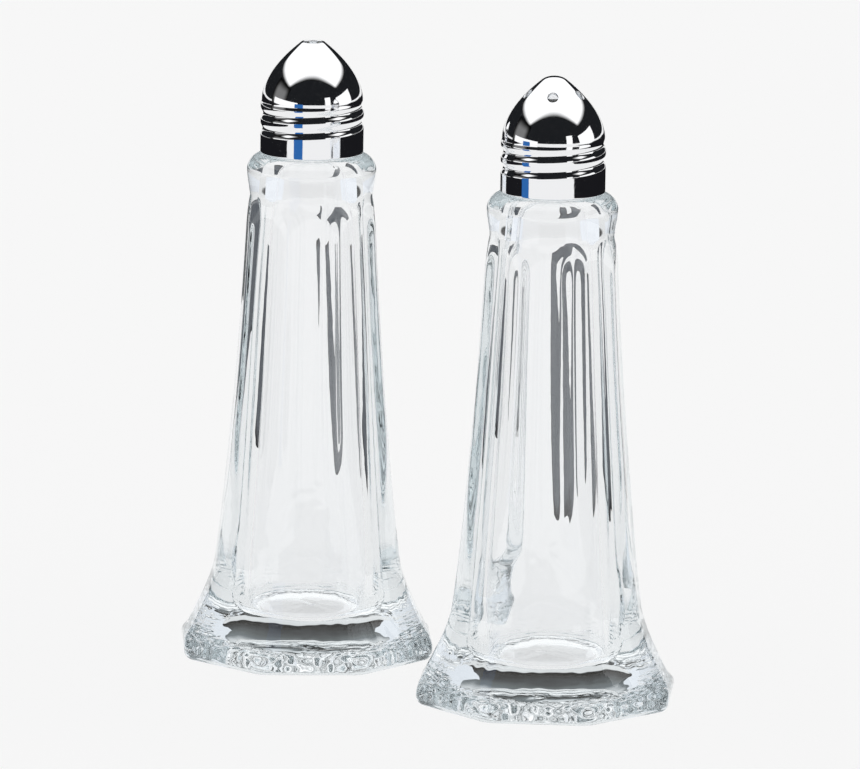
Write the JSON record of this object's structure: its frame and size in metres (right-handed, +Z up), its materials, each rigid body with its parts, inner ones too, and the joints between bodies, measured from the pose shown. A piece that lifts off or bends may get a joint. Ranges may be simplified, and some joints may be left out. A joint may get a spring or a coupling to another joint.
{
  "type": "salt and pepper shaker pair",
  "caption": "Clear octagonal glass table shakers with flared thick feet and screw-on chromed domed caps, pierced for salt and for pepper.",
  "frame": {"origin": "on the table, under the middle of the pair's overall box", "axes": "+Z up along the shakers' axes, +X from the salt shaker to the pepper shaker, the observer stands towards -Y and +X"},
  "size_m": [0.1076, 0.0496, 0.118],
  "materials": {
    "glass": "clear pressed glass, faintly green in the thick parts",
    "cap": "bright chrome plate",
    "washer": "matt natural polyethylene"
  },
  "bodies": {
    "salt_glass": {"salt_glass": "glass"},
    "salt_washer": {"salt_washer": "washer"},
    "salt_cap": {"salt_cap": "cap"},
    "pepper_glass": {"pepper_glass": "glass"},
    "pepper_washer": {"pepper_washer": "washer"},
    "pepper_cap": {"pepper_cap": "cap"}
  },
  "joints": [
    {"name": "salt_cap_lift", "type": "slide", "parent": "salt_glass", "child": "salt_washer", "axis": [0, 0, 1], "range_m": [0, 0.0128]},
    {"name": "salt_cap_turn", "type": "hinge", "parent": "salt_washer", "child": "salt_cap", "pos_m": [-0.02973, 0, 0.1], "axis": [0, 0, 1], "range_deg": [0, 1530]},
    {"name": "pepper_lift", "type": "slide", "parent": "salt_glass", "child": "pepper_glass", "axis": [0, 0, 1], "range_m": [0, 0.15]},
    {"name": "pepper_cap_lift", "type": "slide", "parent": "pepper_glass", "child": "pepper_washer", "axis": [0, 0, 1], "range_m": [0, 0.0128]},
    {"name": "pepper_cap_turn", "type": "hinge", "parent": "pepper_washer", "child": "pepper_cap", "pos_m": [0.02897, 0, 0.1], "axis": [0, 0, 1], "range_deg": [0, 1530]}
  ],
  "couplings": [
    {"joint": "salt_cap_lift", "follows": "salt_cap_turn", "m_per_rad": 0.00047746},
    {"joint": "pepper_cap_lift", "follows": "pepper_cap_turn", "m_per_rad": 0.00047746}
  ]
}
